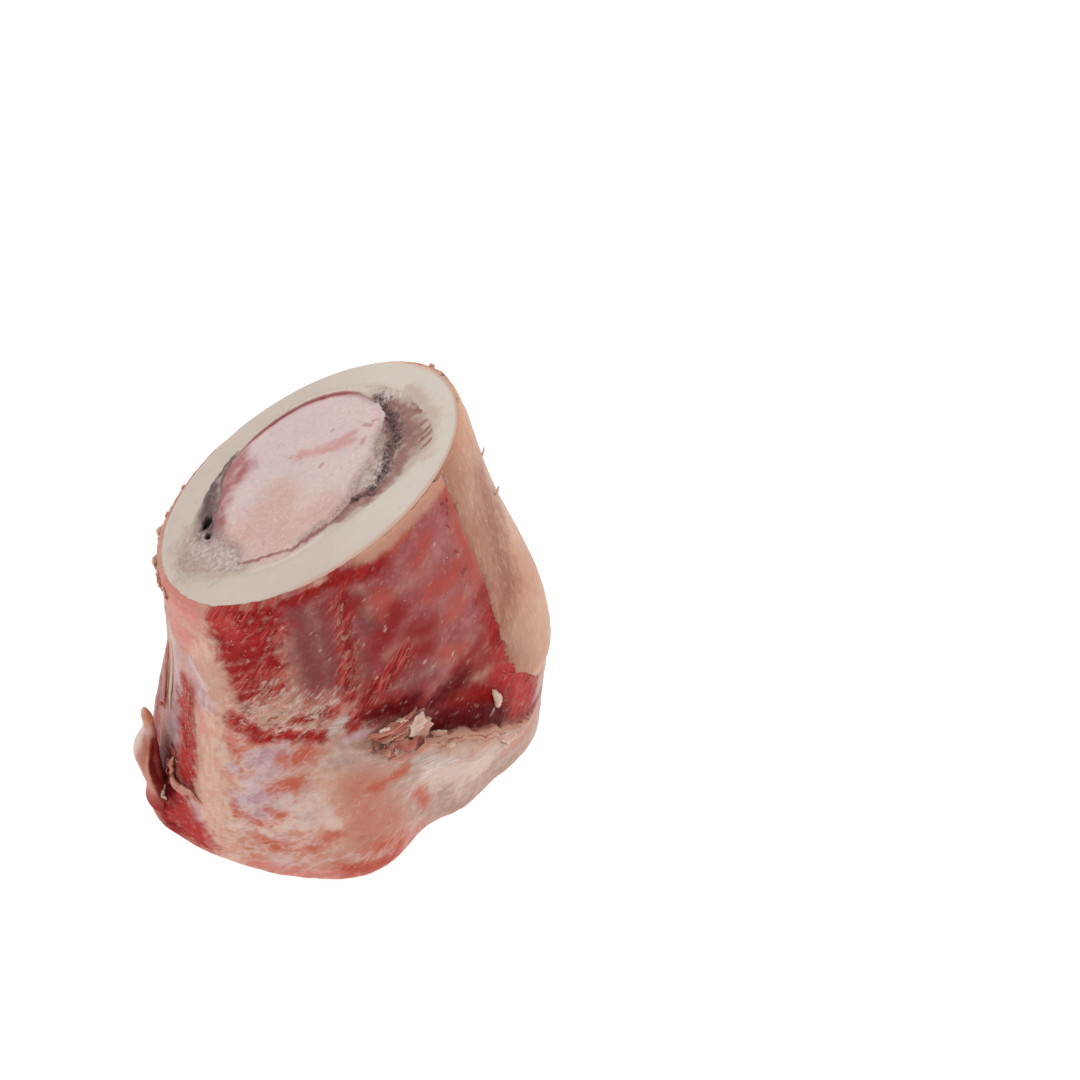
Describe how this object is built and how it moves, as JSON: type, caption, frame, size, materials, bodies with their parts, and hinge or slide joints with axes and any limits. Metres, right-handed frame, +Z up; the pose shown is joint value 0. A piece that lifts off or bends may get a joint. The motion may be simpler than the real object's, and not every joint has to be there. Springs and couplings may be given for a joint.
{
  "type": "raw beef marrow bone",
  "caption": "Short sawn length of raw beef leg bone, with pink marrow in a thick bone ring, a red and pale meat covering and a fatty side.",
  "frame": {"origin": "on the floor, under the middle of the whole piece's box", "axes": "+Z up the shaft, -Y towards the meaty front, +X towards the high side of the sloping upper saw cut"},
  "size_m": [0.0842, 0.0794, 0.0883],
  "materials": {
    "bone": "damp sawn bone, ivory, satin",
    "spongy_bone": "porous, grey brown with pale bone dust",
    "marrow": "soft fat, pale pink with red specks, moist",
    "meat": "wet red muscle, mauve membrane and pale sinew",
    "fat": "fine leathery fat, peach, moist"
  },
  "bodies": {
    "root": {"hard_bone": "bone", "spongy_bone": "spongy_bone", "marrow": "marrow", "meat": "meat", "side_fat": "fat"}
  },
  "joints": []
}
